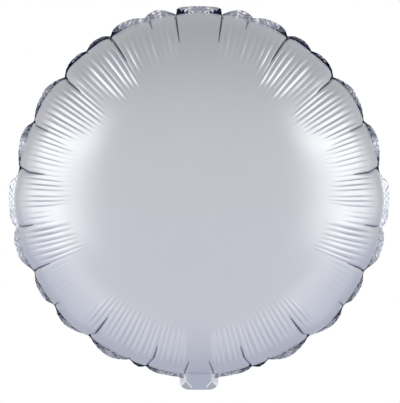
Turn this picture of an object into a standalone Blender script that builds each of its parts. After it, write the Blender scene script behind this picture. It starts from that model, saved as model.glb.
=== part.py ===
"""Round foil balloon, inflated: two gathered foil panels, their welded rim, and the filling neck.

Metres, +Z up, front panel facing -Y. The origin is the centre of the envelope, where the air holds it up.
"""

import math

import bmesh
import bpy
import numpy as np

# Envelope. A flat round bag of inextensible foil blows up to 1 / 1.311 of its flat radius.
FLAT_SEAM_RADIUS = 0.220
MERIDIAN_OVER_RADIUS = 1.3110
SEAM_RADIUS = FLAT_SEAM_RADIUS / MERIDIAN_OVER_RADIUS
FILM = 0.0012
GAP = 0.0003

# Welded rim, a band between the two panels that stands out past them in lobes.
WELD_THICKNESS = 0.0010
WELD_UNDER_PANEL = 0.0030
PANEL_EDGE_Y = WELD_THICKNESS / 2 + GAP

# Gathers on one side of the balloon, from the top round to the neck: the pleat's angle from the top in
# degrees, how far it draws the rim in, where it starts as a share of the seam radius, and how far the rim's
# lobe before it stands out.
GATHERS = (
    (7.5, 0.0030, 0.83, 0.0063),
    (16.6, 0.0020, 0.93, 0.0066),
    (29.4, 0.0038, 0.83, 0.0063),
    (38.3, 0.0016, 0.94, 0.0046),
    (49.0, 0.0058, 0.86, 0.0046),
    (67.0, 0.0042, 0.90, 0.0060),
    (82.3, 0.0038, 0.88, 0.0060),
    (100.6, 0.0030, 0.92, 0.0084),
    (115.0, 0.0036, 0.90, 0.0086),
    (127.7, 0.0040, 0.93, 0.0056),
    (142.6, 0.0058, 0.84, 0.0056),
    (157.5, 0.0024, 0.95, 0.0046),
    (163.4, 0.0038, 0.86, 0.0022),
    (175.6, 0.0044, 0.88, 0.0022),
)
GATHER_SHARPNESS = 5
ACROSS_GATHER = (0.0, 0.07, 0.22, 0.5, 0.78, 0.93)
ROWS = (0.0, 0.30, 0.54, 0.70, 0.80, 0.88, 0.94, 0.98, 1.0)
RIM_NOTCH_WIDTH = 0.0008

# Filling neck: a flat tube between the panels' tabs, welded along both sides and open at the foot.
NECK_START = 0.85
NECK_CROWN_Y = 0.0032
NECK_MARGIN_Y = PANEL_EDGE_Y + FILM
NECK_FOOT = 0.1814
NECK_TOP_HALF_WIDTH = 0.0122
NECK_FOOT_HALF_WIDTH = 0.0100
NECK_FLAT_SHARE = 0.5
NECK_MARGIN_SHARE = 0.86
NECK_SHOULDER = 0.1690
TAIL_HALF_WIDTH = 0.0179
TAIL_CORNER_WIDTH = 0.0062
TAIL_CORNER_HEIGHT = 0.0046
TAIL_CORNER_STEPS = 4
WELD_INNER_HALF_WIDTH = 0.0072
WELD_SPLIT_X = 0.0130
WELD_TOP = 0.1600

# Self-sealing valve: two thin films inside the neck.
VALVE_FILM = 0.0005
VALVE_HALF_WIDTH = 0.0052
VALVE_TOP = 0.142
VALVE_INSET = 0.0008

SATIN_SILVER = (0.62, 0.63, 0.67, 1.0)
BRIGHT_FOIL = (0.80, 0.81, 0.84, 1.0)
CLEAR_FILM = (0.78, 0.80, 0.82, 1.0)


def clear_scene():
    for old in list(bpy.data.objects):
        bpy.data.objects.remove(old)


def finish_material(name, colour, roughness, metallic):
    material = bpy.data.materials.new(name)
    material.use_nodes = True
    shader = material.node_tree.nodes["Principled BSDF"]
    shader.inputs["Base Color"].default_value = colour
    shader.inputs["Roughness"].default_value = roughness
    shader.inputs["Metallic"].default_value = metallic
    material.diffuse_color = colour
    return material


def smooth_step(low, high, value):
    share = min(1.0, max(0.0, (value - low) / (high - low)))
    return share * share * (3 - 2 * share)


def meridian(radius_share):
    """Depth and slope of the inflated film at this share of the seam radius.

    The sine of its slope is the square of the share, so that all of its tension runs along the meridians.
    """
    slope = math.asin(min(1.0, radius_share**2))
    steps = np.linspace(slope, math.pi / 2, 200)
    depth = SEAM_RADIUS / 2 * np.trapz(np.sqrt(np.sin(steps)), steps)
    return depth, slope


def pleats_round():
    """Every pleat in order from the top round: (angle, depth, start, lobe before it)."""
    left = [(math.radians(a), depth, start, lobe) for a, depth, start, lobe in GATHERS]
    lobes = [gather[3] for gather in left]
    # Seen from the neck up the other side, the lobe before a pleat is the one after its mirror image.
    right = [
        (2 * math.pi - left[i][0], left[i][1], left[i][2], lobes[i + 1] if i + 1 < len(left) else 0.0)
        for i in reversed(range(len(left)))
    ]
    return left + right


def spans():
    """Each gather as (first angle, last angle, first pleat, last pleat), the top one last."""
    pleats = pleats_round()
    found = [(a[0], b[0], a, b) for a, b in zip(pleats, pleats[1:])]
    last, first = pleats[-1], pleats[0]
    found.append((last[0], first[0] + 2 * math.pi, last, first))
    return found


def arch(share):
    """How far a gather stands out between two pleats: nothing at a pleat, all of it at the middle."""
    return 1 - abs(2 * share - 1) ** GATHER_SHARPNESS


def draw_in(span, share, radius_share):
    """How far the film lies inside the smooth envelope at a point of a gather."""
    _, _, first, last = span
    depth = first[1] * (1 - share) + last[1] * share
    start = first[2] * (1 - share) + last[2] * share
    return depth * (1 - arch(share)) * smooth_step(start, 1.0, radius_share)


def is_neck(span):
    return span[0] < math.pi < span[1]


def neck_depth(depth, radius_share, share):
    """The film's depth in the neck's span, where it sweeps down to the tab in place of the seam."""
    swept = smooth_step(NECK_START, 1.0, radius_share) * arch(share)
    return depth * (1 - swept) + (NECK_CROWN_Y - PANEL_EDGE_Y) * swept


def panel_point(span, share, radius_share, side):
    """A point of a panel's outer face. Side is -1 for the front panel and 1 for the back one."""
    angle = span[0] + (span[1] - span[0]) * share
    depth, slope = meridian(radius_share)
    if is_neck(span):
        depth = neck_depth(depth, radius_share, share)
    inwards = draw_in(span, share, radius_share)
    radius = SEAM_RADIUS * radius_share - inwards * math.sin(slope)
    out = max(depth - inwards * math.cos(slope), 0.0) + PANEL_EDGE_Y
    return (-radius * math.sin(angle), side * out, radius * math.cos(angle))


def columns():
    """The columns of film round a panel, as (gather, share across it)."""
    return [(span, share) for span in spans() for share in ACROSS_GATHER]


def add_object(name, mesh, material, collection):
    obj = bpy.data.objects.new(name, mesh)
    mesh.materials.append(material)
    collection.objects.link(obj)
    return obj


def sheet_from_grid(name, rows, place, outwards, material, collection):
    """A film wall: a grid of rows placed by a function, its doubles merged, thickened inwards."""
    across = len(rows[0])
    bm = bmesh.new()
    bmesh.ops.create_grid(bm, x_segments=across - 1, y_segments=len(rows) - 1, size=1.0)
    bm.verts.ensure_lookup_table()
    for index, vertex in enumerate(bm.verts):
        row, column = divmod(index, across)
        vertex.co = place(rows[row][column])
    bmesh.ops.remove_doubles(bm, verts=bm.verts, dist=1e-5)
    bm.normal_update()
    facing = sum(face.normal.y * face.calc_area() for face in bm.faces)
    if facing * outwards < 0:
        bmesh.ops.reverse_faces(bm, faces=bm.faces)
    mesh = bpy.data.meshes.new(name)
    bm.to_mesh(mesh)
    bm.free()
    obj = add_object(name, mesh, material, collection)
    wall = obj.modifiers.new("Film", "SOLIDIFY")
    wall.thickness = FILM
    wall.offset = -1
    wall.use_even_offset = False
    mesh.shade_smooth()
    return obj


def add_panel(name, side, material, collection):
    """One round foil panel, domed by the gas and gathered at its rim."""
    round_the_rim = columns()
    round_the_rim.append(round_the_rim[0])
    grid = [[(span, share, row) for span, share in round_the_rim] for row in ROWS]
    return sheet_from_grid(
        name, grid, lambda at: panel_point(at[0], at[1], at[2], side), side, material, collection
    )


def neck_section(share, half_width):
    """The tab's cross-section, from -1 to 1 across: flat welded margins, sloping sides and a flat crown."""
    across = abs(share)
    risen = 1 - min(1.0, max(0.0, (across - NECK_FLAT_SHARE) / (NECK_MARGIN_SHARE - NECK_FLAT_SHARE)))
    return share * half_width, NECK_MARGIN_Y + (NECK_CROWN_Y - NECK_MARGIN_Y) * risen


def add_neck_tab(name, side, material, collection):
    """The panel's tab below the rim, one wall of the filling neck."""
    shares = (-1.0, -NECK_MARGIN_SHARE, -NECK_FLAT_SHARE, 0.0, NECK_FLAT_SHARE, NECK_MARGIN_SHARE, 1.0)
    top = SEAM_RADIUS + GAP
    heights = (top, (top + NECK_FOOT) / 2, NECK_FOOT)

    def place(at):
        share, low = at
        down = (low - top) / (NECK_FOOT - top)
        half_width = NECK_TOP_HALF_WIDTH + (NECK_FOOT_HALF_WIDTH - NECK_TOP_HALF_WIDTH) * down
        x, y = neck_section(share, half_width)
        return (x, side * y, -low)

    grid = [[(share, low) for share in shares] for low in heights]
    return sheet_from_grid(name, grid, place, side, material, collection)


def flat_plate(name, outline, thickness, y, material, collection):
    """A flat outline in the XZ plane, as a closed mesh plate centred on y."""
    curve = bpy.data.curves.new(name, "CURVE")
    curve.dimensions = "2D"
    curve.fill_mode = "BOTH"
    curve.extrude = thickness / 2
    spline = curve.splines.new("POLY")
    spline.points.add(len(outline) - 1)
    for point, (x, z) in zip(spline.points, outline):
        point.co = (x, z, 0.0, 1.0)
    spline.use_cyclic_u = True
    drawn = bpy.data.objects.new(name + "_outline", curve)
    bpy.context.scene.collection.objects.link(drawn)
    drawn.rotation_euler = (math.pi / 2, 0.0, 0.0)
    drawn.location = (0.0, y, 0.0)
    bpy.context.view_layer.update()
    graph = bpy.context.evaluated_depsgraph_get()
    mesh = bpy.data.meshes.new_from_object(drawn.evaluated_get(graph))
    bm = bmesh.new()
    bm.from_mesh(mesh)
    bmesh.ops.remove_doubles(bm, verts=bm.verts, dist=1e-5)
    bmesh.ops.recalc_face_normals(bm, faces=bm.faces)
    bm.to_mesh(mesh)
    bm.free()
    mesh.name = name
    obj = add_object(name, mesh, material, collection)
    obj.matrix_world = drawn.matrix_world
    bpy.data.objects.remove(drawn)
    return obj


def rim_point(span, share, past_edge):
    """A point in the seam's plane, this far past the panels' edge."""
    angle = span[0] + (span[1] - span[0]) * share
    radius = SEAM_RADIUS - draw_in(span, share, 1.0) + past_edge
    return (-radius * math.sin(angle), radius * math.cos(angle))


def lobe_width(span, share):
    """How far the welded rim stands out past the panels."""
    widest = span[3][3]
    return RIM_NOTCH_WIDTH + (widest - RIM_NOTCH_WIDTH) * (1 - abs(2 * share - 1) ** 3)


def add_rim_weld(material, collection):
    """The welded rim: one band of lobes from one side of the neck over the top to the other."""
    outer, inner = [], []
    for span, share in columns():
        if is_neck(span):
            continue
        outer.append(rim_point(span, share, lobe_width(span, share)))
        inner.append(rim_point(span, share, -WELD_UNDER_PANEL))
    # The walk starts at the top's first pleat, so it is turned to start beside the neck.
    after_neck = next(i for i, point in enumerate(outer) if point[0] > 0)
    outer = outer[after_neck:] + outer[:after_neck]
    inner = inner[after_neck:] + inner[:after_neck]

    def clear_of_neck(point):
        return abs(point[0]) > WELD_SPLIT_X + GAP or point[1] > 0

    outer = [point for point in outer if clear_of_neck(point)]
    inner = [point for point in inner if clear_of_neck(point)]
    outline = outer + inner[::-1]
    return flat_plate("rim_weld", outline, WELD_THICKNESS, 0.0, material, collection)


def add_neck_weld(name, side, material, collection):
    """The neck's welded margin on one side, with the tail's rounded lower corner."""
    margin = [
        (WELD_INNER_HALF_WIDTH, -WELD_TOP),
        (WELD_SPLIT_X, -WELD_TOP),
        (WELD_SPLIT_X, -NECK_SHOULDER),
        (TAIL_HALF_WIDTH, -NECK_SHOULDER),
    ]
    for step in range(TAIL_CORNER_STEPS + 1):
        turn = math.pi / 2 * step / TAIL_CORNER_STEPS
        x = TAIL_HALF_WIDTH - TAIL_CORNER_WIDTH * (1 - math.cos(turn))
        z = -NECK_FOOT + TAIL_CORNER_HEIGHT * (1 - math.sin(turn))
        margin.append((x, z))
    margin.append((WELD_INNER_HALF_WIDTH, -NECK_FOOT))
    outline = [(side * x, z) for x, z in margin]
    return flat_plate(name, outline, WELD_THICKNESS, 0.0, material, collection)


def add_valve_film(name, side, material, collection):
    """One of the valve's two thin films, bonded inside the neck's wall."""
    y = NECK_CROWN_Y - FILM - GAP - VALVE_FILM / 2
    foot = NECK_FOOT - VALVE_INSET
    half = VALVE_HALF_WIDTH
    outline = ((-half, -foot), (half, -foot), (half, -VALVE_TOP), (-half, -VALVE_TOP))
    return flat_plate(name, outline, VALVE_FILM, side * y, material, collection)


def build():
    clear_scene()
    collection = bpy.data.collections.new("round_foil_balloon")
    bpy.context.scene.collection.children.link(collection)
    satin = finish_material("satin_silver_foil", SATIN_SILVER, 0.35, 1.0)
    bright = finish_material("bright_foil", BRIGHT_FOIL, 0.12, 1.0)
    clear = finish_material("valve_film", CLEAR_FILM, 0.30, 0.0)
    for word, side in (("front", -1), ("back", 1)):
        add_panel(f"{word}_panel", side, satin, collection)
        add_neck_tab(f"neck_tab_{word}", side, satin, collection)
        add_valve_film(f"valve_film_{word}", side, clear, collection)
    add_rim_weld(bright, collection)
    add_neck_weld("neck_weld_left", -1, bright, collection)
    add_neck_weld("neck_weld_right", 1, bright, collection)


build()
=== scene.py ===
"""Finish of the round foil balloon: crimped satin panels, crumpled bright rim, and the flat filling neck.

Metres, +Z up, front panel facing -Y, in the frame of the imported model.
"""

import math
from collections import namedtuple

import bpy
import numpy as np
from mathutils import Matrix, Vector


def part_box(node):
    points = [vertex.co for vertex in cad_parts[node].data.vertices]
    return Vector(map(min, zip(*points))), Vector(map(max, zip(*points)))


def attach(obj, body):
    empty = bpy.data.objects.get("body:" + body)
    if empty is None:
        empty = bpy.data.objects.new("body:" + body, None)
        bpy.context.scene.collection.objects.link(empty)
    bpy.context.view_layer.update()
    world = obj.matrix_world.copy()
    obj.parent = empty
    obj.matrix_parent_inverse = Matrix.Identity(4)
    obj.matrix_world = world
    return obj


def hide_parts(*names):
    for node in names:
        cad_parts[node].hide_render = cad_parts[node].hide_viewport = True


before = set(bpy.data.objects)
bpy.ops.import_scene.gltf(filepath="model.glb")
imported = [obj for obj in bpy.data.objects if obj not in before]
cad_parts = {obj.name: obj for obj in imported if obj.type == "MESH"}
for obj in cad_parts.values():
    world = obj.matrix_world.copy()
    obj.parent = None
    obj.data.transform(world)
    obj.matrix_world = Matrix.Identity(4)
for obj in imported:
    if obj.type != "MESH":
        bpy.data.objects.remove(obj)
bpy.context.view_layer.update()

# Envelope, from the flat bag's seam radius. A foil bag blows up to its flat radius divided by 1.311.
FLAT_SEAM_RADIUS = 0.220
SEAM_RADIUS = FLAT_SEAM_RADIUS / 1.3110
EDGE_Y = 0.0008
WELD_MARGIN = 0.0007
MM = 0.001

# The photograph's frame, and the balloon's centre and satin edge in it, in pixels.
PHOTO_SIZE_PX = (400, 403)
CENTRE_PX = (199.0, 193.5)
SATIN_RADIUS_PX = 181.5
METRES_PER_PX = SEAM_RADIUS / SATIN_RADIUS_PX
CAMERA_DISTANCE = 2.0
SENSOR_MM = 36.0

# Pleats of one side, from the top round to the neck: the angle in degrees from the top, how far the pleat swings
# at the rim and from which share of the seam radius it does, how far it draws the seam in and how deep its fold is
# in millimetres, and where it starts as a share of the seam radius.
Pleat = namedtuple("Pleat", "angle hook swing draw fold reach")
PLEATS = (
    Pleat(7.4, 0.0, 0.96, 0.5, 2.2, 0.810),
    Pleat(15.9, 0.0, 0.96, 0.1, 1.8, 0.925),
    Pleat(29.2, 0.3, 0.96, 1.8, 2.4, 0.800),
    Pleat(38.3, 0.0, 0.96, 0.2, 0.6, 0.975),
    Pleat(49.5, -0.5, 0.96, 4.4, 2.4, 0.835),
    Pleat(67.5, -1.0, 0.97, 0.9, 2.0, 0.870),
    Pleat(82.9, -1.0, 0.93, 2.4, 2.2, 0.830),
    Pleat(100.7, -0.3, 0.96, 1.3, 2.0, 0.900),
    Pleat(115.0, 0.3, 0.96, 2.0, 1.8, 0.880),
    Pleat(127.8, 0.0, 0.96, 0.6, 0.9, 0.955),
    Pleat(143.5, -1.1, 0.96, 2.0, 2.2, 0.820),
    Pleat(157.3, 0.0, 0.96, 1.4, 0.5, 0.985),
    Pleat(164.6, -1.2, 0.92, 0.4, 2.0, 0.845),
    Pleat(176.7, -1.2, 0.88, 0.2, 2.2, 0.905),
)
SHORT_PLEAT_REACH = 0.96
ARCH_POWER = 2.4
HOOK_SPREAD = 2.6

# Fine crimps between the pleats, by angle: their depth, where they end inwards as a share of the seam radius, how
# narrow their valleys are, how far they lean over, in degrees, between their inner end and the rim, and how much
# painted shade darkens their valleys.
CRIMP_PITCH = 2.05
CRIMP_DEPTH = 0.46 * MM
Crimping = namedtuple("Crimping", "angle depth inner_end sharpness lean dark")
CRIMPING = (
    Crimping(0.0, 0.0, 0.72, 2.0, 0.0, 0.0),
    Crimping(6.5, 0.0, 0.72, 2.0, 0.0, 0.0),
    Crimping(8.2, 1.8, 0.68, 1.8, 0.0, 0.03),
    Crimping(15.0, 1.1, 0.68, 1.8, 0.0, 0.03),
    Crimping(20.0, 1.2, 0.68, 1.8, 0.2, 0.04),
    Crimping(27.0, 1.3, 0.67, 1.8, 0.4, 0.05),
    Crimping(30.0, 2.3, 0.630, 1.6, 1.0, 0.05),
    Crimping(34.8, 2.3, 0.630, 1.6, 1.0, 0.05),
    Crimping(35.8, 1.1, 0.635, 1.6, 0.9, 0.05),
    Crimping(36.8, 1.1, 0.635, 1.6, 0.9, 0.05),
    Crimping(38.0, 2.2, 0.625, 1.6, 0.8, 0.05),
    Crimping(41.0, 2.1, 0.625, 1.6, 0.8, 0.05),
    Crimping(43.0, 0.5, 0.66, 1.8, 0.4, 0.04),
    Crimping(48.0, 0.35, 0.67, 1.8, 0.2, 0.05),
    Crimping(50.0, 2.0, 0.630, 1.7, -0.1, 0.08),
    Crimping(62.0, 2.0, 0.635, 2.6, -0.6, 0.16),
    Crimping(66.5, 1.6, 0.665, 3.2, -0.6, 0.28),
    Crimping(69.0, 1.2, 0.72, 4.0, -0.6, 0.22),
    Crimping(72.0, 2.0, 0.625, 4.6, -0.3, 0.30),
    Crimping(76.0, 1.6, 0.64, 4.6, -0.6, 0.26),
    Crimping(84.0, 1.9, 0.63, 4.4, -0.6, 0.24),
    Crimping(93.0, 1.9, 0.625, 4.2, -0.8, 0.26),
    Crimping(95.5, 0.7, 0.74, 3.0, -0.6, 0.10),
    Crimping(99.0, 0.8, 0.77, 3.0, -0.4, 0.12),
    Crimping(101.5, 1.9, 0.68, 2.4, -0.6, 0.25),
    Crimping(107.0, 1.9, 0.665, 2.2, -1.8, 0.22),
    Crimping(113.5, 1.8, 0.66, 2.0, -1.6, 0.22),
    Crimping(116.0, 0.8, 0.75, 2.0, -0.6, 0.10),
    Crimping(120.0, 0.4, 0.77, 2.0, 0.0, 0.05),
    Crimping(136.0, 0.15, 0.73, 2.0, -0.4, 0.02),
    Crimping(138.5, 0.9, 0.66, 1.6, -0.6, 0.10),
    Crimping(144.0, 1.8, 0.630, 1.6, -0.5, 0.12),
    Crimping(150.0, 1.4, 0.645, 1.7, -0.5, 0.06),
    Crimping(156.0, 1.4, 0.66, 1.7, -1.0, 0.04),
    Crimping(160.0, 1.1, 0.70, 1.7, -0.8, 0.04),
    Crimping(166.0, 1.5, 0.655, 1.8, -0.5, 0.02),
    Crimping(174.0, 1.5, 0.680, 1.8, -0.9, 0.02),
    Crimping(176.5, 0.0, 0.72, 2.0, -0.4, 0.0),
    Crimping(180.0, 0.0, 0.72, 2.0, 0.0, 0.0),
)
VALLEY_WIDTH = 0.30
CREST_WIDTH = 0.42

# How much painted highlight lightens the film along the crests of its crimps, by angle.
CREST_HIGHLIGHTS = (
    (6.5, 0.0),
    (8.2, 0.80),
    (10.0, 0.30),
    (27.0, 0.45),
    (29.2, 0.0),
    (137.0, 0.0),
    (138.0, 0.80),
    (142.5, 0.80),
    (143.5, 0.30),
    (145.3, 0.90),
    (146.2, 1.40),
    (148.0, 0.40),
    (156.0, 0.40),
    (160.0, 0.25),
    (165.0, 0.40),
    (166.5, 1.40),
    (174.5, 1.40),
    (176.5, 0.0),
)
ACROSS_CRIMP = (0.0, 0.06, 0.17, 0.33, 0.5, 0.67, 0.83, 0.94)
LEAN_PIVOT = 0.94
LEAN_SPAN = 0.27

# Lobes of the bright rim on one side, from the top round to the neck. Each ends at an angle, in a notch that
# stands out this many millimetres past the plain seam. Its outline rises to its widest at a peak, given as a
# share of the lobe, by one power before the peak and another after it. The foil curls back by some degrees, and
# its facets are darkened by painted reflections by these shares at the lobe's start, middle and end. The satin's
# edge in the middle of the lobe stands out past the plain seam by the last number, in millimetres.
Lobe = namedtuple("Lobe", "end notch widest peak before after curl dark satin_edge")
TOP_OF_RIM = 5.9
LOBES = (
    Lobe(7.3, -1.0, 5.6, 0.60, 2.0, 12.0, 0, (0.36, 0.32, 1.35), -1.0),
    Lobe(17.3, 2.2, 6.6, 0.55, 1.5, 2.0, 4, (0.55, 0.32, 0.42), -1.3),
    Lobe(29.4, -0.8, 5.7, 0.40, 1.5, 4.0, -6, (0.32, 0.32, 0.95), -1.2),
    Lobe(38.3, 0.2, 3.8, 0.60, 3.0, 1.6, 5, (0.75, 0.85, 0.95), -0.9),
    Lobe(49.0, -3.4, 3.0, 0.30, 1.5, 3.0, -4, (0.95, 0.90, 1.00), -1.1),
    Lobe(66.4, -1.6, 4.5, 0.40, 1.5, 2.3, 8, (0.75, 0.45, 1.00), -0.6),
    Lobe(83.6, -1.4, 5.4, 0.40, 3.0, 1.5, 4, (0.70, 0.20, 0.95), -0.7),
    Lobe(100.35, 4.5, 8.6, 0.45, 4.0, 8.0, 30, (0.03, 0.02, 0.05), 3.2),
    Lobe(115.4, 0.0, 9.5, 0.60, 4.0, 1.3, 14, (0.26, 0.24, 0.55), 3.2),
    Lobe(127.8, -0.5, 5.7, 0.62, 3.0, 2.5, -5, (0.60, 0.45, 0.60), 1.2),
    Lobe(142.1, -2.0, 6.0, 0.45, 3.0, 1.5, 6, (0.85, 0.45, 0.40), 1.8),
    Lobe(157.3, -1.4, 4.8, 0.60, 2.0, 1.5, -5, (0.85, 0.42, 0.36), -1.5),
    Lobe(162.8, -0.5, 2.1, 0.55, 1.4, 2.0, 0, (1.00, 1.00, 0.95), -1.1),
    Lobe(173.6, 3.1, 3.1, 0.60, 3.5, 2.0, 4, (0.70, 0.50, 0.34), -1.3),
)
FACET_LENGTH = 2.6 * MM
STEEP_POWER = 8.0
STEEP_FACET = 0.45
UNDER_PANEL = 3.0 * MM
ACROSS_LOBE = (0.0, 0.34, 0.67, 0.94, 1.0)
FACET_RISE = 0.75 * MM
CURL_FLATTENS = 0.7
RIM_NICKS = 0.35 * MM

# Tones of the bright foil, painted reflections: dark at zero, bright at one, and a painted white glint above
# that. The outermost facets are a little darker all round the rim, painted shade, and a few narrow folds, at
# these angles, carry painted white glints.
GLINT_TONE = 1.6
GLINT_RARITY = 0.985
CUT_EDGE_SHADE = 0.42
WEDGE_POINT = 0.52
WEDGE_FOOT = 0.20
WEDGE_BLUR = 0.10
GLINT_FOLDS = (3.0, 4.5, 12.0, 18.6, 74.0, 135.8)
GLINT_FOLD_REACH = 0.45

# Filling neck, in metres. The satin film's edge runs over these points, (half width, height), and the tail's
# bright corners stand out past it.
NECK_FOOT = 0.1813
NECK_CROWN_Y = 0.0032
TAB_LEAN = 0.0016
# The panels' neck span darkens a little; painted shade darkens its last rows like the tab, and painted light fills
# its throat.
TAB_SHADE = 0.18
NECK_SHADE = 0.02
THROAT_PAINTED_LIGHT = 1.0
NECK_SWEEP_START = 0.975
NECK_ROOT = (0.0132, -0.1674)
NECK_FORK = (0.0120, -0.1727)
NECK_TURN = (0.0067, -0.1789)
NECK_TOE = (0.0058, -NECK_FOOT)
CORNER_TIP = (0.0166, -0.1771)
TAIL_OUTLINE = (
    (0.0200, -0.1650),
    (0.0197, -0.1690),
    (0.0180, -0.1701),
    (0.0177, -0.1716),
    (0.0177, -0.1762),
    (0.0167, -0.1778),
    (0.0149, -0.1796),
    (0.0122, -0.1809),
    (0.0108, -NECK_FOOT),
)

# The tail's folds, each from one point to another, in metres. Its dark folds carry painted shade where the rim's end
# tucks under.
DARK_FOLDS = (
    ((0.0169, -0.1652), (0.0170, -0.1694)),
    ((0.0166, -0.1697), (0.0147, -0.1700)),
    ((0.0177, -0.1700), (0.0177, -0.1716)),
)

SATIN_COLOUR = (0.785, 0.800, 0.870)
# The tabs' satin: the film's colour darkened and blued by painted shade.
TAB_SHADED_COLOUR = (0.592, 0.620, 0.742)
# Painted highlight on the crests, and painted light in the neck's throat.
SATIN_HIGHLIGHT_COLOUR = (0.980, 0.990, 1.000)
# Painted shade in the folds; the film's slow clouding also darkens a little towards it.
FOLD_SHADE_AND_CLOUD_COLOUR = (0.014, 0.020, 0.085)
BRIGHT_COLOUR = (0.84, 0.870, 0.97)
# Painted white glints on the bright foil.
GLINT_COLOUR = (0.95, 0.95, 0.95)
# Painted dark reflections on the bright foil's facets.
DARK_REFLECTION_COLOUR = (0.014, 0.020, 0.060)


def smooth_step(low, high, value):
    share = np.clip((value - low) / (high - low), 0.0, 1.0)
    return share * share * (3 - 2 * share)


def meridian(slope):
    """Radius and depth of the inflated film where it slopes by this angle.

    The radius is the seam's times the root of the slope's sine, and the depth is half the seam's radius times
    the integral of that root from the slope to a right angle.
    """
    steps = np.linspace(0.0, math.pi / 2, 4001)
    roots = np.sqrt(np.sin(steps))
    grown = np.concatenate([[0.0], np.cumsum((roots[1:] + roots[:-1]) / 2 * np.diff(steps))])
    depth = SEAM_RADIUS / 2 * (grown[-1] - np.interp(slope, steps, grown))
    return SEAM_RADIUS * np.sqrt(np.sin(slope)), depth


PLEAT_STOPS = np.array([0.0] + [pleat.angle for pleat in PLEATS] + [180.0])


def crimp_valleys():
    """The angles of the valleys between crimps, from the top to the neck's middle. Each long pleat is one."""
    draw = np.random.default_rng(7)
    long_pleats = [pleat.angle for pleat in PLEATS if pleat.reach < SHORT_PLEAT_REACH]
    stops = np.array([0.0] + long_pleats + [180.0])
    valleys = []
    for first, last in zip(stops, stops[1:]):
        count = max(1, round((last - first) / CRIMP_PITCH))
        inner = np.linspace(first, last, count + 1)[:-1]
        inner[1:] += draw.uniform(-0.14, 0.14, count - 1) * CRIMP_PITCH
        valleys.append(inner)
    return np.concatenate(valleys + [[180.0]])


VALLEYS = crimp_valleys()


def columns():
    """Each column's angle before it bends, its share across its crimp, and the number of that crimp."""
    shares = np.array(ACROSS_CRIMP)
    widths = np.diff(VALLEYS)
    angles = (VALLEYS[:-1, None] + widths[:, None] * shares[None, :]).ravel()
    share = np.tile(shares, len(widths))
    crimp = np.repeat(np.arange(len(widths)), len(shares))
    return np.append(angles, 180.0), np.append(share, 0.0), np.append(crimp, len(widths) - 1)


def crimping(angle, field):
    """One field of the crimping table, blended to each angle."""
    return np.interp(angle, [row.angle for row in CRIMPING], [getattr(row, field) for row in CRIMPING])


def from_pleat(angle):
    """How near each angle is to a pleat: one at a pleat and none midway to the next.

    The top span and the neck run on past the mirror plane, so only their outer half is here.
    """
    index = np.clip(np.searchsorted(PLEAT_STOPS, angle, side="right") - 1, 0, len(PLEATS))
    share = (angle - PLEAT_STOPS[index]) / (PLEAT_STOPS[index + 1] - PLEAT_STOPS[index])
    near = np.abs(2 * share - 1)
    near = np.where(index == 0, share, near)
    return np.where(index == len(PLEATS), 1 - share, near)


def at_pleats(angle, field):
    """One field of the pleats' table, blended across each span between them."""
    return np.interp(angle, [pleat.angle for pleat in PLEATS], [getattr(pleat, field) for pleat in PLEATS])


def satin_edge(angle):
    """How far the satin's edge stands out past the plain seam, blended from the middle of each lobe to the next."""
    ends = np.array([0.0] + [lobe.end for lobe in LOBES])
    middles = (ends[:-1] + ends[1:]) / 2
    edges = [lobe.satin_edge * MM for lobe in LOBES]
    return np.interp(angle, np.append(middles, PLEATS[-1].angle), edges + [0.0])


def bent_angle(angle, radius_share):
    """The angle after the crimps' lean, which grows with the radius, and the pleats' hooks close to the rim."""
    lean = np.clip((radius_share - LEAN_PIVOT) / LEAN_SPAN, -1.0, 1.0)
    bent = angle + crimping(angle, "lean") * lean
    for pleat in PLEATS:
        near = np.exp(-(((angle - pleat.angle) / HOOK_SPREAD) ** 2))
        bent = bent + pleat.hook * near * smooth_step(pleat.swing, 1.0, radius_share)
    return bent


def fold_depth(angle, radius_share):
    """Depth of the pleats: steep on one side, easy on the other, fading out at each pleat's reach."""
    depth = np.zeros(np.broadcast(angle, radius_share).shape)
    for pleat in PLEATS:
        off = angle - pleat.angle
        groove = np.exp(-np.abs(off / np.where(off < 0, 0.22, 0.55)))
        depth = depth + pleat.fold * MM * groove * smooth_step(pleat.reach, 1.0, radius_share) ** 0.6
    return depth


def crimp_strength(angle, share, crimp, radius_share):
    """How strong each crimp is along its length: from a point at its inner end, growing, then sinking at the rim."""
    draw = np.random.default_rng(21)
    count = len(VALLEYS) - 1
    vigour = draw.uniform(0.5, 1.25, count)[crimp]
    ends = draw.uniform(-0.012, 0.012, count)[crimp]
    start = crimping(angle, "inner_end") + ends + 0.035 * np.abs(2 * share - 1) ** 2
    along = smooth_step(start, start + 0.13, radius_share) * (1 - 0.92 * smooth_step(0.86, 0.975, radius_share))
    return vigour * along * (1 + 0.6 * smooth_step(0.70, 0.86, radius_share))


def crimp_height(angle, share, crimp, radius_share):
    """Height of the crimps over their valleys: each is a ridge, one less a power of the share from its crest."""
    power = crimping(angle, "sharpness")
    across = (1 - np.abs(2 * share - 1) ** power) * 2 / power
    return CRIMP_DEPTH * crimping(angle, "depth") * crimp_strength(angle, share, crimp, radius_share) * across


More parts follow.
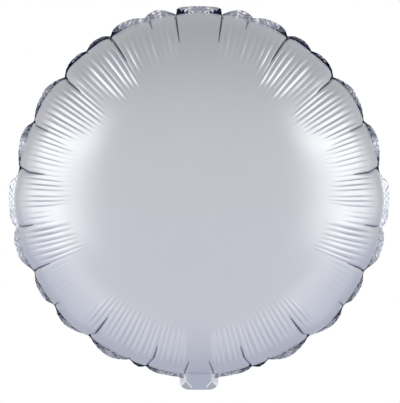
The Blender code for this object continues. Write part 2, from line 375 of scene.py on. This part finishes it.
def fold_shade(angle, share, crimp, radius_share):
    """Painted shade at each point, from none to one.

    It is painted shade: a narrow bell across each crimp's valley and a deeper one across each pleat, which
    widens outwards from the pleat's reach, less a painted highlight across each crest. The neck's span darkens a
    little towards its tab, whose top has painted shade. Below none is painted light, as in the neck's throat.
    """
    off_valley = np.minimum(share, 1 - share) * CRIMP_PITCH
    off_crest = np.abs(share - 0.5) * CRIMP_PITCH
    valley = np.exp(-((off_valley / VALLEY_WIDTH) ** 2))
    crest = np.exp(-((off_crest / CREST_WIDTH) ** 2))
    # Painted highlight along the crests, and painted shade in the valleys.
    pale = np.interp(angle, *zip(*CREST_HIGHLIGHTS))
    strength = crimp_strength(angle, share, crimp, radius_share)
    shade = (crimping(angle, "dark") * valley - pale * crest) * strength
    # The neck's span: darkened a little, painted light in the throat, and painted shade at the top of the tab.
    in_neck = smooth_step(PLEATS[-1].angle - 0.3, PLEATS[-1].angle + 0.1, angle)
    throat = smooth_step(0.962, 0.976, radius_share) * (1 - smooth_step(0.990, 0.996, radius_share))
    tab_top = smooth_step(0.990, 0.998, radius_share)
    shade = shade + in_neck * (NECK_SHADE * smooth_step(0.62, 0.74, radius_share) - THROAT_PAINTED_LIGHT * throat)
    shade = shade + in_neck * (TAB_SHADE - NECK_SHADE) * tab_top
    # Painted shade down each pleat's crease.
    for pleat in PLEATS:
        width = 0.15 + 0.10 * smooth_step(pleat.reach, 0.99, radius_share)
        across = np.exp(-(((angle - pleat.angle) / width) ** 2))
        along = smooth_step(pleat.reach - 0.008, pleat.reach + 0.018, radius_share)
        shade = np.maximum(shade, across * along)
    return shade


def neck_sweep(angle, radius_share):
    """How much of the way each point of the neck's span has gone from the dome to the flat tab."""
    in_neck = angle > PLEATS[-1].angle
    across = 1 - from_pleat(angle) ** 3.4
    return np.where(in_neck, smooth_step(NECK_SWEEP_START, 1.0, radius_share) * across, 0.0)


def row_slopes():
    """The film's slope at each row of a panel: few rows on the smooth dome, many along the crimps."""
    dome = np.arcsin(np.array([0.12, 0.24, 0.36, 0.46, 0.55, 0.61]) ** 2)
    crimped = np.linspace(math.asin(0.64**2), math.pi / 2, 52)
    return np.concatenate([dome, crimped])


def panel_half(side):
    """Half a panel, rows by columns, from the top to the neck on the left: its points, and its fold shade.

    Past the inflated film, the last two rows are the flat margin that is welded to the rim.
    """
    angle, share, crimp = columns()
    slope = row_slopes()[:, None]
    radius, depth = meridian(slope)
    radius_share = radius / SEAM_RADIUS
    angle, share, crimp = angle[None, :], share[None, :], crimp[None, :]
    swept = neck_sweep(angle, radius_share)
    depth = depth * (1 - swept) + (NECK_CROWN_Y - EDGE_Y) * swept
    drawn = at_pleats(angle, "draw") * MM * from_pleat(angle) ** ARCH_POWER
    inwards = drawn * smooth_step(at_pleats(angle, "reach") - 0.06, 1.0, radius_share)
    inwards = inwards + fold_depth(angle, radius_share) - crimp_height(angle, share, crimp, radius_share)
    radius = radius * (1 - WELD_MARGIN / SEAM_RADIUS) - inwards * np.sin(slope)
    radius = radius + satin_edge(angle) * smooth_step(0.85, 1.0, radius_share)
    out = np.maximum(depth - inwards * np.cos(slope), 0.0) + EDGE_Y
    shade = fold_shade(angle, share, crimp, radius_share)
    turn = bent_angle(angle, radius_share)
    margin = radius[-1:] + np.array([[0.08], [1.0]]) * WELD_MARGIN
    radius = np.concatenate([radius, margin])
    out = np.concatenate([out, np.repeat(out[-1:], 2, axis=0)])
    shade = np.concatenate([shade, np.repeat(shade[-1:], 2, axis=0)])
    turn = np.radians(np.concatenate([turn, np.repeat(turn[-1:], 2, axis=0)]))
    return np.stack([-radius * np.sin(turn), side * out, radius * np.cos(turn)], axis=-1), shade


MIRROR_X = np.array([-1.0, 1.0, 1.0])


def whole_ring(half, mirror):
    """Both halves of a ring, each row closed: the left half down, and its mirror image back up."""
    return np.concatenate([half, half[:, -2:0:-1] * mirror], axis=1)


def link_mesh(name, vertices, faces, material):
    mesh = bpy.data.meshes.new(name)
    mesh.from_pydata(vertices, [], faces)
    mesh.materials.append(material)
    obj = bpy.data.objects.new(name, mesh)
    bpy.context.scene.collection.objects.link(obj)
    return obj


def set_values(obj, attribute, domain, values):
    layer = obj.data.attributes.new(attribute, "FLOAT", domain)
    layer.data.foreach_set("value", np.ascontiguousarray(values, dtype=np.float32).ravel())


def add_surface(name, points, material, closed=False, pole=None, flip=False):
    """A smooth mesh over a grid of points. Closed joins its last column to its first, a pole caps its first row."""
    rows, across = points.shape[:2]
    index = np.arange(rows * across).reshape(rows, across)
    right = np.roll(index, -1, axis=1)
    if not closed:
        index, right = index[:, :-1], right[:, :-1]
    quads = np.stack([index[:-1], index[1:], right[1:], right[:-1]], axis=-1).reshape(-1, 4)
    turn = -1 if flip else 1
    vertices = points.reshape(-1, 3)
    faces = quads[:, ::turn].tolist()
    if pole is not None:
        vertices = np.concatenate([vertices, [pole]])
        fan = np.stack([np.full(across, rows * across), index[0], right[0]], axis=-1)
        faces += fan[:, ::turn].tolist()
    obj = link_mesh(name, vertices, faces, material)
    obj.data.shade_smooth()
    return obj


def add_panel(name, side, material):
    """One satin panel, its faces turned outwards."""
    half, shade = panel_half(side)
    pole = (0.0, side * (meridian(0.0)[1] + EDGE_Y), 0.0)
    panel = add_surface(name, whole_ring(half, MIRROR_X), material, closed=True, pole=pole, flip=side > 0)
    set_values(panel, "fold", "POINT", np.append(whole_ring(shade, 1.0).ravel(), 0.0))
    return panel


def seam_radius(angle):
    """The seam's radius at each angle, where the pleats draw it in, after their hooks have swung."""
    before = np.linspace(0.0, 180.0, 3601)
    drawn = at_pleats(before, "draw") * MM * from_pleat(before) ** ARCH_POWER
    return np.interp(angle, bent_angle(before, 1.0), SEAM_RADIUS + satin_edge(before) - drawn)


def lobe_columns():
    """Angles of the rim's facets: whole facets in each lobe, at uneven spacing, with one angle on each notch.

    A lobe with a steep end has its last facet narrowed, so that its outline drops almost straight to the notch.
    """
    draw = np.random.default_rng(11)
    first = 0.0
    found = []
    for lobe in LOBES:
        count = round(math.radians(lobe.end - first) * SEAM_RADIUS / FACET_LENGTH)
        inner = np.linspace(first, lobe.end, count + 1)[:-1]
        inner[1:] += draw.uniform(-0.3, 0.3, count - 1) * (lobe.end - first) / count
        if lobe.after >= STEEP_POWER:
            inner[-1] = lobe.end - STEEP_FACET
        found.append(inner)
        first = lobe.end
    return np.concatenate(found + [[first]])


def lobe_share(angle):
    """The number of the lobe that each angle lies in, and the share along it."""
    stops = np.array([0.0] + [lobe.end for lobe in LOBES])
    number = np.clip(np.searchsorted(stops, angle, side="right") - 1, 0, len(LOBES) - 1)
    return number, (angle - stops[number]) / (stops[number + 1] - stops[number])


def rim_outline(angle):
    """The rim's outer radius: each lobe rises from one notch to its widest and falls to the next.

    It is the widest less the rise, times a power of the distance from the peak as a share of its side.
    """
    number, share = lobe_share(angle)

    def of_lobe(values):
        return np.array(values)[number]

    peak = of_lobe([lobe.peak for lobe in LOBES])
    widest = of_lobe([lobe.widest for lobe in LOBES])
    rising = share < peak
    off = np.where(rising, (peak - share) / peak, (share - peak) / (1 - peak))
    power = np.where(rising, of_lobe([lobe.before for lobe in LOBES]), of_lobe([lobe.after for lobe in LOBES]))
    ends = [lobe.notch for lobe in LOBES]
    notch = np.where(rising, of_lobe([TOP_OF_RIM] + ends[:-1]), of_lobe(ends))
    return SEAM_RADIUS - 0.2 * MM + MM * (widest - (widest - notch) * off**power)


def facet_darkness(angle, out_share, noise):
    """How dark each facet's painted reflection is, from 0 to 1: by lobe, darker along the seam, and uneven from fold
    to fold.

    The top lobe's dark end is a wedge. It lies under a straight line that rises from the wedge's point, low by the
    seam, to the outline at the lobe's end.
    """
    number, share = lobe_share(angle)
    dark = np.array([lobe.dark for lobe in LOBES])[number]
    to_end = smooth_step(0.5, 0.95, share)
    wedge_height = WEDGE_FOOT + (1 - WEDGE_FOOT) * (share - WEDGE_POINT) / (1 - WEDGE_POINT)
    in_wedge = smooth_step(-WEDGE_BLUR, WEDGE_BLUR, wedge_height - out_share)
    to_end = np.where((number == 0) & (share > WEDGE_POINT), in_wedge, to_end)
    along = np.where(
        share < 0.5,
        dark[..., 0] + (dark[..., 1] - dark[..., 0]) * smooth_step(0.05, 0.5, share),
        dark[..., 1] + (dark[..., 2] - dark[..., 1]) * to_end,
    )
    return np.clip(along * (1.5 - 0.9 * out_share) + (0.15 + 0.6 * along) * (noise - 0.5), 0.0, 1.0)


def rim_half():
    """Half the rim from the top to the neck: points in rows outwards, each cell's slant, and its facets' tones.

    The inner row lies hidden under the panels. The others are spaced from the seam to the outline, and each point
    steps aside, out and to the front or back by a random share of a facet. The steps to front and back are less
    where a lobe curls, by a share of the curl's sine, because the curl pulls the film flat. The outline is nicked
    at random and edged by a narrow strip of painted shade. The facets' tones are painted reflections; some facets
    carry a painted white glint, and so does one facet of each cell on a glint fold.
    """
    draw = np.random.default_rng(5)
    angle = lobe_columns()[None, :]
    share = np.array(ACROSS_LOBE)[:, None]
    seam, outline = seam_radius(angle), rim_outline(angle)
    room = np.maximum(outline - seam, 0.5 * MM)
    shape = (len(ACROSS_LOBE), angle.shape[1])
    loose = np.broadcast_to(np.sin(np.pi * share), shape) * 0.30
    loose = loose * np.where(np.arange(shape[1]) == 0, 0.0, 1.0)
    spacing = np.gradient(angle[0])[None, :]
    turn = angle + draw.uniform(-1, 1, shape) * loose * spacing
    radius = seam + room * (share + draw.uniform(-1, 1, shape) * loose * 0.4)
    radius[-1] -= np.minimum(draw.uniform(0.0, RIM_NICKS, shape[1]), 0.2 * room[0])
    number, _ = lobe_share(angle)
    curl = np.radians(np.array([lobe.curl for lobe in LOBES]))[number]
    up_or_down = np.where(np.add.outer(np.arange(shape[0]), np.arange(shape[1])) % 2, 1, -1)
    zigzag = draw.uniform(0.2, 1.0, shape) * up_or_down
    zigzag[-1] = zigzag[-2]
    rise = FACET_RISE * (1 - CURL_FLATTENS * np.abs(np.sin(curl)))
    y = rise * zigzag * np.clip(share * room / (2.0 * MM), 0, 1) + (radius - seam) * np.sin(curl)
    turn = np.concatenate([angle, turn])
    radius = np.concatenate([seam - UNDER_PANEL, radius])
    y = np.concatenate([np.zeros_like(angle), y])
    points = np.stack([-radius * np.sin(np.radians(turn)), y, radius * np.cos(np.radians(turn))], axis=-1)
    cells = (shape[0], shape[1] - 1)
    slant = draw.random(cells) < 0.5
    middle = np.broadcast_to(((angle[:, 1:] + angle[:, :-1]) / 2)[..., None], cells + (2,))
    out_share = np.concatenate([[0.0], (share[1:, 0] + share[:-1, 0]) / 2])[:, None, None] * np.ones((1, 1, 2))
    out_share = out_share + np.array([-0.12, 0.12])
    # Each facet's tone is a painted reflection; the outline's row gets painted shade, and glint facets a painted
    # white glint.
    tone = 1 - facet_darkness(middle, out_share, draw.random(cells + (2,)))
    tone[-1] = np.maximum(tone[-1] - CUT_EDGE_SHADE, 0.0)
    glinting = (draw.random(cells + (2,)) > GLINT_RARITY) & (tone > 0.6)
    from_glint_fold = np.abs(np.subtract.outer(GLINT_FOLDS, middle[..., 0])).min(axis=0)
    glinting[..., 0] |= from_glint_fold < GLINT_FOLD_REACH
    return points, slant, np.where(glinting, GLINT_TONE, tone)


def add_facets(name, points, slant, tone, material):
    """A faceted mesh over a grid: each cell is split along the slant it is given, and each facet has a tone.

    A cell's first facet holds its edge on the row above, and its second the edge on the row below.
    """
    rows, across = points.shape[:2]
    index = np.arange(rows * across).reshape(rows, across)
    a, b, c, d = index[:-1, :-1], index[:-1, 1:], index[1:, 1:], index[1:, :-1]
    first = np.stack([a, b, np.where(slant, c, d)], axis=-1)
    second = np.stack([np.where(slant, a, b), c, d], axis=-1)
    faces = np.stack([first, second], axis=2).reshape(-1, 3)
    obj = link_mesh(name, points.reshape(-1, 3), faces.tolist(), material)
    set_values(obj, "tone", "FACE", tone)
    return obj


def add_wall(obj, thickness):
    wall = obj.modifiers.new("Film", "SOLIDIFY")
    wall.thickness = thickness
    wall.offset = 0
    wall.use_even_offset = False


def add_rim(material):
    """The bright rim: its left half and the mirror image, in one band from one side of the neck to the other."""
    half, slant, tone = rim_half()
    points = np.concatenate([half[:, :0:-1] * MIRROR_X, half], axis=1)
    slant = np.concatenate([~slant[:, ::-1], slant], axis=1)
    tone = np.concatenate([tone[:, ::-1], tone], axis=1)
    rim = add_facets("rim_weld_foil", points, slant, tone, material)
    add_wall(rim, 0.2 * MM)
    return rim


def neck_half_width(height):
    """Half the satin tab's width at each height: straight between its root, fork, turn and toe."""
    stops = (NECK_TOE, NECK_TURN, NECK_FORK, NECK_ROOT)
    return np.interp(height, [stop[1] for stop in stops], [stop[0] for stop in stops])


def tab_points(side):
    """The tab's points, rows down by columns across: a flat-crowned arch over its width, like the panel's edge."""
    height = np.linspace(-0.975 * SEAM_RADIUS, -NECK_FOOT, 30)[:, None]
    across = np.linspace(-1.0, 1.0, 41)[None, :]
    half_width = neck_half_width(height)
    arch = 1 - np.abs(across) ** 3.4
    risen = EDGE_Y + 0.35 * MM * smooth_step(-SEAM_RADIUS, NECK_FORK[1], height)
    y = risen + (NECK_CROWN_Y - risen) * arch
    y = y - 0.06 * MM * smooth_step(-1.001 * SEAM_RADIUS, -0.985 * SEAM_RADIUS, height)
    y = y - TAB_LEAN * arch * np.clip((-SEAM_RADIUS - height) / (NECK_FOOT - SEAM_RADIUS), 0.0, 1.0)
    return np.stack(np.broadcast_arrays(half_width * across, side * y, height), axis=-1)


def add_tab(name, side, material):
    """One side's satin tab below the panel, its faces turned outwards."""
    points = tab_points(side)
    tab = add_surface(name, points, material, flip=side > 0)
    set_values(tab, "fold", "POINT", np.zeros(points.shape[:2]))
    add_wall(tab, 0.1 * MM)
    return tab


def corner_outline(height):
    """The tail's outer half width at each height, straight between its outline's points."""
    widths, heights = zip(*reversed(TAIL_OUTLINE))
    return np.interp(height, heights, widths)


def tent(x, z, first, last, half_width):
    """A ridge over the straight line between two points: one on it, falling straight to none beside it."""
    (x0, z0), (x1, z1) = first, last
    run, drop = x1 - x0, z1 - z0
    along = np.clip(((x - x0) * run + (z - z0) * drop) / (run**2 + drop**2), 0.0, 1.0)
    distance = np.hypot(x - x0 - along * run, z - z0 - along * drop)
    return np.clip(1 - distance / half_width, 0.0, 1.0)


def corner_points():
    """The right corner: rows down, and columns from the front tab's edge out round the rim to the back tab's.

    Its height off the seam's plane falls from the tab's edge to nothing at the outline, with ridges on the folds
    that fork below the neck's root, and two shallow dents between them.
    """
    height = np.linspace(-0.1650, -NECK_FOOT, 46)[:, None]
    across = np.linspace(-1.0, 1.0, 57)[None, :]
    outwards = 1 - np.abs(across)
    inner = neck_half_width(height) - 1.6 * MM
    x = inner + (corner_outline(height) - inner) * outwards
    z = height + 0 * across
    ridges = 0.75 * tent(x, z, NECK_ROOT, NECK_FORK, 1.0 * MM)
    ridges = np.maximum(ridges, 0.85 * tent(x, z, NECK_FORK, CORNER_TIP, 1.1 * MM))
    ridges = np.maximum(ridges, 0.65 * tent(x, z, NECK_FORK, NECK_TURN, 1.1 * MM))
    dents = 0.35 * tent(x, z, (0.0155, -0.1722), (0.0168, -0.1745), 2.4 * MM)
    dents = dents + 0.30 * tent(x, z, (0.0118, -0.1775), (0.0120, -0.1800), 2.8 * MM)
    y = (0.75 * MM + ridges * MM - dents * MM) * np.clip(4 * (1 - outwards), 0, 1)
    points = np.stack([x, np.sign(across) * y, z], axis=-1)
    # The corner's tones are painted reflections: painted light above the fork, painted white glints on the ridges,
    # and painted shade under the rim and in the dark folds.
    above_fork = smooth_step(-0.1765, -0.1735, z + 0.9 * (x - 0.0150))
    under_rim = smooth_step(-0.1708, -0.1698, z) * np.clip(1.3 - 2 * ridges, 0, 1)
    dark = np.max([tent(x, z, *fold, 0.8 * MM) for fold in DARK_FOLDS], axis=0)
    tone = 0.66 + 0.44 * above_fork + 1.0 * np.clip(4 * ridges - 0.8, 0, 1) - 0.54 * under_rim - 0.45 * dark
    return points, np.clip(tone, 0.0, GLINT_TONE)


def add_corner(name, side, material):
    """A bright corner of the tail. Side is -1 on the left and 1 on the right."""
    points, tone = corner_points()
    points = points * np.array([side, 1.0, 1.0])
    corner = add_surface(name, points, material, flip=side > 0)
    corner.data.shade_flat()
    set_values(corner, "tone", "POINT", tone)
    add_wall(corner, 0.15 * MM)
    return corner


def add_valve(name, side, material):
    """A valve film: a thin sheet that fits its solid, with slow ripples down it that die out at its edges."""
    low, high = (np.array(corner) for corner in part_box(name))
    across = np.linspace(0.0, 1.0, 25)[None, :]
    down = np.linspace(0.0, 1.0, 61)[:, None]
    x = low[0] + (high[0] - low[0]) * across
    z = high[2] + (low[2] - high[2]) * down
    middle, room = (low[1] + high[1]) / 2, (high[1] - low[1]) / 2 - 0.06 * MM
    ripple = np.sin(9.0 * down + 2.2 * across) * np.sin(np.pi * across) * np.sin(np.pi * down)
    points = np.stack(np.broadcast_arrays(x, middle + room * ripple, z), axis=-1)
    sheet = add_surface(name + "_sheet", points, material, flip=side > 0)
    add_wall(sheet, 0.08 * MM)
    return sheet


def new_group(name, inputs, outputs):
    """An empty node group with these named sockets, as (group, its input node, its output node)."""
    group = bpy.data.node_groups.new(name, "ShaderNodeTree")
    for socket, kind, value in inputs:
        made = group.interface.new_socket(socket, in_out="INPUT", socket_type=kind)
        if value is not None:
            made.default_value = value
    for socket, kind in outputs:
        group.interface.new_socket(socket, in_out="OUTPUT", socket_type=kind)
    return group, group.nodes.new("NodeGroupInput"), group.nodes.new("NodeGroupOutput")


def math_node(tree, operation, *values):
    """A Math node. A value is a number or a socket."""
    node = tree.nodes.new("ShaderNodeMath")
    node.operation = operation
    for socket, value in zip(node.inputs, values):
        if isinstance(value, (int, float)):
            socket.default_value = value
        else:
            tree.links.new(value, socket)
    return node.outputs[0]


def ranged(tree, value, low, high, to_low, to_high):
    """A value carried from one range to another, held at its ends."""
    node = tree.nodes.new("ShaderNodeMapRange")
    for socket, number in zip(("From Min", "From Max", "To Min", "To Max"), (low, high, to_low, to_high)):
        node.inputs[socket].default_value = number
    tree.links.new(value, node.inputs["Value"])
    return node.outputs[0]


def film_texture_group():
    """Metallised film: a very fine grain, and slow mottling. Both come out from 0 to 1."""
    inputs = (("Vector", "NodeSocketVector", None), ("Grain Size", "NodeSocketFloat", 0.0005),
              ("Mottle Size", "NodeSocketFloat", 0.03))
    outputs = (("Grain", "NodeSocketFloat"), ("Mottle", "NodeSocketFloat"))
    group, start, end = new_group("film_texture", inputs, outputs)
    for size, output, detail in (("Grain Size", "Grain", 1.0), ("Mottle Size", "Mottle", 3.0)):
        noise = group.nodes.new("ShaderNodeTexNoise")
        noise.inputs["Detail"].default_value = detail
        group.links.new(start.outputs["Vector"], noise.inputs["Vector"])
        group.links.new(math_node(group, "DIVIDE", 1.0, start.outputs[size]), noise.inputs["Scale"])
        group.links.new(noise.outputs["Fac"], end.inputs[output])
    return group


def wrinkle_group():
    """Handled film: flat patches that meet in fine creases. Height rises from 0 on a crease to 1 beside it."""
    inputs = (("Vector", "NodeSocketVector", None), ("Patch Size", "NodeSocketFloat", 0.004),
              ("Crease Width", "NodeSocketFloat", 0.08))
    group, start, end = new_group("film_wrinkles", inputs, (("Height", "NodeSocketFloat"),))
    patches = group.nodes.new("ShaderNodeTexVoronoi")
    patches.feature = "DISTANCE_TO_EDGE"
    group.links.new(start.outputs["Vector"], patches.inputs["Vector"])
    group.links.new(math_node(group, "DIVIDE", 1.0, start.outputs["Patch Size"]), patches.inputs["Scale"])
    rise = math_node(group, "DIVIDE", patches.outputs["Distance"], start.outputs["Crease Width"])
    group.links.new(math_node(group, "MINIMUM", rise, 1.0), end.inputs["Height"])
    return group


def principled(name, colour, roughness, metallic):
    material = bpy.data.materials.new(name)
    material.use_nodes = True
    shader = material.node_tree.nodes["Principled BSDF"]
    shader.inputs["Base Color"].default_value = (*colour, 1.0)
    shader.inputs["Roughness"].default_value = roughness
    shader.inputs["Metallic"].default_value = metallic
    return material, material.node_tree, shader


def place_group(tree, group, **values):
    """A group node on Object coordinates. Each value's name is the socket's, with _ for a space."""
    node = tree.nodes.new("ShaderNodeGroup")
    node.node_tree = group
    coordinates = tree.nodes.new("ShaderNodeTexCoord")
    tree.links.new(coordinates.outputs["Object"], node.inputs["Vector"])
    for socket, value in values.items():
        node.inputs[socket.replace("_", " ")].default_value = value
    return node


def add_bump(tree, shader, height, distance, strength):
    bump = tree.nodes.new("ShaderNodeBump")
    bump.inputs["Distance"].default_value = distance
    bump.inputs["Strength"].default_value = strength
    tree.links.new(height, bump.inputs["Height"])
    tree.links.new(bump.outputs["Normal"], shader.inputs["Normal"])


def blend_colours(tree, first, second, share):
    """A colour that goes from the first to the second as the share rises. The first is a colour or a socket."""
    mix = tree.nodes.new("ShaderNodeMix")
    mix.data_type = "RGBA"
    if isinstance(first, tuple):
        mix.inputs["A"].default_value = (*first, 1.0)
    else:
        tree.links.new(first, mix.inputs["A"])
    mix.inputs["B"].default_value = (*second, 1.0)
    tree.links.new(share, mix.inputs["Factor"])
    return mix.outputs["Result"]


def read_attribute(tree, name):
    node = tree.nodes.new("ShaderNodeAttribute")
    node.attribute_name = name
    return node.outputs["Fac"]


def satin_foil(name, colour, film_texture):
    """Satin silver film: soft reflections, a fine grain, slow clouding, painted shade in its folds and painted light
    on crests.
    """
    material, tree, shader = principled(name, colour, 0.29, 1.0)
    film = place_group(tree, film_texture, Grain_Size=0.0006, Mottle_Size=0.035)
    tree.links.new(ranged(tree, film.outputs["Mottle"], 0.3, 0.7, 0.275, 0.305), shader.inputs["Roughness"])
    cloudy = ranged(tree, film.outputs["Mottle"], 0.3, 0.7, 0.0, 0.02)
    # The fold attribute carries painted shade above none and painted light below it; clouding darkens a little.
    fold = read_attribute(tree, "fold")
    shaded_and_clouded = blend_colours(tree, colour, FOLD_SHADE_AND_CLOUD_COLOUR, math_node(tree, "MAXIMUM", fold, cloudy))
    painted_light_share = ranged(tree, fold, -1.0, 0.0, 1.0, 0.0)
    tree.links.new(blend_colours(tree, shaded_and_clouded, SATIN_HIGHLIGHT_COLOUR, painted_light_share), shader.inputs["Base Color"])
    add_bump(tree, shader, film.outputs["Grain"], 0.00004, 0.25)
    return material


def bright_foil(film_texture, wrinkles):
    """Bright silver film: near-mirror facets with fine creases, each a painted dark or bright reflection by its tone,
    or a painted white glint.
    """
    material, tree, shader = principled("bright_foil", BRIGHT_COLOUR, 0.10, 1.0)
    film = place_group(tree, film_texture, Grain_Size=0.0008, Mottle_Size=0.006)
    tree.links.new(ranged(tree, film.outputs["Mottle"], 0.3, 0.7, 0.06, 0.17), shader.inputs["Roughness"])
    tone = read_attribute(tree, "tone")
    # Tones above one are painted white glints, not metal.
    glinting = ranged(tree, tone, 1.0, GLINT_TONE, 0.0, 1.0)
    foil = blend_colours(tree, DARK_REFLECTION_COLOUR, BRIGHT_COLOUR, tone)
    tree.links.new(blend_colours(tree, foil, GLINT_COLOUR, glinting), shader.inputs["Base Color"])
    tree.links.new(math_node(tree, "SUBTRACT", 1.0, glinting), shader.inputs["Metallic"])
    creases = place_group(tree, wrinkles, Patch_Size=0.0016, Crease_Width=0.10)
    add_bump(tree, shader, creases.outputs["Height"], 0.00008, 0.5)
    return material


def valve_film(film_texture, wrinkles):
    """Thin milky plastic: half clear, slightly creased."""
    material, tree, shader = principled("valve_film", (0.84, 0.86, 0.88), 0.25, 0.0)
    shader.inputs["Transmission Weight"].default_value = 0.5
    film = place_group(tree, film_texture, Grain_Size=0.0005, Mottle_Size=0.008)
    tree.links.new(ranged(tree, film.outputs["Mottle"], 0.3, 0.7, 0.18, 0.34), shader.inputs["Roughness"])
    creases = place_group(tree, wrinkles, Patch_Size=0.006, Crease_Width=0.05)
    add_bump(tree, shader, creases.outputs["Height"], 0.0001, 0.4)
    return material


def add_camera():
    """A level camera in front, its view centred so that the balloon falls where the photograph has it."""
    camera = bpy.data.cameras.new("camera")
    camera.sensor_width = SENSOR_MM
    camera.lens = SENSOR_MM * CAMERA_DISTANCE / (max(PHOTO_SIZE_PX) * METRES_PER_PX)
    obj = bpy.data.objects.new("camera", camera)
    right = (PHOTO_SIZE_PX[0] / 2 - CENTRE_PX[0]) * METRES_PER_PX
    up = (CENTRE_PX[1] - PHOTO_SIZE_PX[1] / 2) * METRES_PER_PX
    obj.location = (right, -CAMERA_DISTANCE, up)
    obj.rotation_euler = (math.pi / 2, 0.0, 0.0)
    bpy.context.scene.collection.objects.link(obj)
    bpy.context.scene.camera = obj


SOFTBOX_COLOUR = (1.0, 0.985, 0.89)
Softbox = namedtuple("Softbox", "name azimuth elevation distance width height radiance")
SOFTBOXES = (
    Softbox("softbox_core", 85, 6, 1.6, 1.10, 1.10, 0.21),
    Softbox("softbox_middle", 79, 10, 1.6, 1.85, 1.65, 0.20),
    Softbox("softbox_spill", 84, 3, 1.6, 3.20, 1.60, 0.20),
    Softbox("softbox_upper", 76, 25, 1.6, 2.20, 0.45, 0.34),
    Softbox("softbox_low", 97, -47, 1.4, 1.60, 1.30, 0.155),
)


def add_softbox(box, side):
    """A large soft light to one side, aimed at the balloon and hidden from the camera."""
    light = bpy.data.lights.new(box.name, "AREA")
    light.shape = "RECTANGLE"
    light.size = box.width
    light.size_y = box.height
    light.color = SOFTBOX_COLOUR
    light.energy = box.radiance * math.pi * box.width * box.height
    obj = bpy.data.objects.new(box.name, light)
    a, e = math.radians(box.azimuth) * side, math.radians(box.elevation)
    obj.location = np.array([math.sin(a) * math.cos(e), -math.cos(a) * math.cos(e), math.sin(e)]) * box.distance
    obj.rotation_euler = (math.pi / 2 - e, 0.0, a)
    obj.visible_camera = False
    bpy.context.scene.collection.objects.link(obj)


FRONT_RADIANCE = 0.69
BACK_RADIANCE = 0.55
OVERHEAD_LOSS = 0.155


def add_world():
    """Plain surroundings: white, but in the foil's reflections a soft grey, darker overhead and behind."""
    world = bpy.data.worlds.new("studio")
    bpy.context.scene.world = world
    world.use_nodes = True
    tree = world.node_tree
    tree.nodes.clear()
    place = tree.nodes.new("ShaderNodeTexCoord")
    parts = tree.nodes.new("ShaderNodeSeparateXYZ")
    tree.links.new(place.outputs["Generated"], parts.inputs[0])
    upwards = ranged(tree, parts.outputs["Z"], 0.0, 1.0, 0.0, -OVERHEAD_LOSS)
    behind = ranged(tree, parts.outputs["Y"], -1.0, 1.0, FRONT_RADIANCE, BACK_RADIANCE)
    grey = tree.nodes.new("ShaderNodeBackground")
    tree.links.new(math_node(tree, "ADD", upwards, behind), grey.inputs["Strength"])
    white = tree.nodes.new("ShaderNodeBackground")
    path = tree.nodes.new("ShaderNodeLightPath")
    mix = tree.nodes.new("ShaderNodeMixShader")
    for background in (grey, white):
        background.inputs["Color"].default_value = (1.0, 1.0, 1.0, 1.0)
    tree.links.new(path.outputs["Is Glossy Ray"], mix.inputs[0])
    tree.links.new(white.outputs[0], mix.inputs[1])
    tree.links.new(grey.outputs[0], mix.inputs[2])
    out = tree.nodes.new("ShaderNodeOutputWorld")
    tree.links.new(mix.outputs[0], out.inputs["Surface"])


FLOOR_Z = -3.4
FLOOR_RADIUS = 25.0
DARKENING_SPAN = (-2.1, 2.2)
FLOOR_COLOUR = (0.68, 0.69, 0.705)
FAR_FLOOR_COLOUR = (0.485, 0.505, 0.580)


def add_floor():
    """A plain pale floor with painted shade, a little darker from below the balloon backwards."""
    bpy.ops.mesh.primitive_circle_add(vertices=96, radius=FLOOR_RADIUS, fill_type="NGON", location=(0, 0, FLOOR_Z))
    floor = bpy.context.object
    floor.name = "floor"
    material, tree, shader = principled("pale_floor", FLOOR_COLOUR, 0.8, 0.0)
    place = tree.nodes.new("ShaderNodeTexCoord")
    parts = tree.nodes.new("ShaderNodeSeparateXYZ")
    tree.links.new(place.outputs["Object"], parts.inputs[0])
    # Painted shade: darker from below the balloon backwards.
    backwards = ranged(tree, parts.outputs["Y"], *DARKENING_SPAN, 0.0, 1.0)
    tree.links.new(blend_colours(tree, FLOOR_COLOUR, FAR_FLOOR_COLOUR, backwards), shader.inputs["Base Color"])
    floor.data.materials.append(material)


def finish_piece(piece, node):
    """Hangs a piece on the root body and hides the solid that it stands for."""
    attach(piece, "root")
    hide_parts(node)


def main():
    bpy.context.scene.view_settings.view_transform = "Standard"
    add_camera()
    film_texture, wrinkles = film_texture_group(), wrinkle_group()
    satin = satin_foil("satin_foil", SATIN_COLOUR, film_texture)
    # The tabs get the satin with painted shade in its colour.
    tab_shaded_satin = satin_foil("tab_shaded_satin_foil", TAB_SHADED_COLOUR, film_texture)
    bright = bright_foil(film_texture, wrinkles)
    clear = valve_film(film_texture, wrinkles)
    for word, side in (("front", -1), ("back", 1)):
        finish_piece(add_panel(f"{word}_panel_film", side, satin), f"{word}_panel")
        finish_piece(add_tab(f"neck_tab_{word}_film", side, tab_shaded_satin), f"neck_tab_{word}")
        finish_piece(add_valve(f"valve_film_{word}", side, clear), f"valve_film_{word}")
    finish_piece(add_rim(bright), "rim_weld")
    for word, side in (("left", -1), ("right", 1)):
        finish_piece(add_corner(f"neck_weld_{word}_foil", side, bright), f"neck_weld_{word}")
    add_world()
    for box in SOFTBOXES:
        add_softbox(box, -1)
        add_softbox(box, 1)
    add_floor()


main()
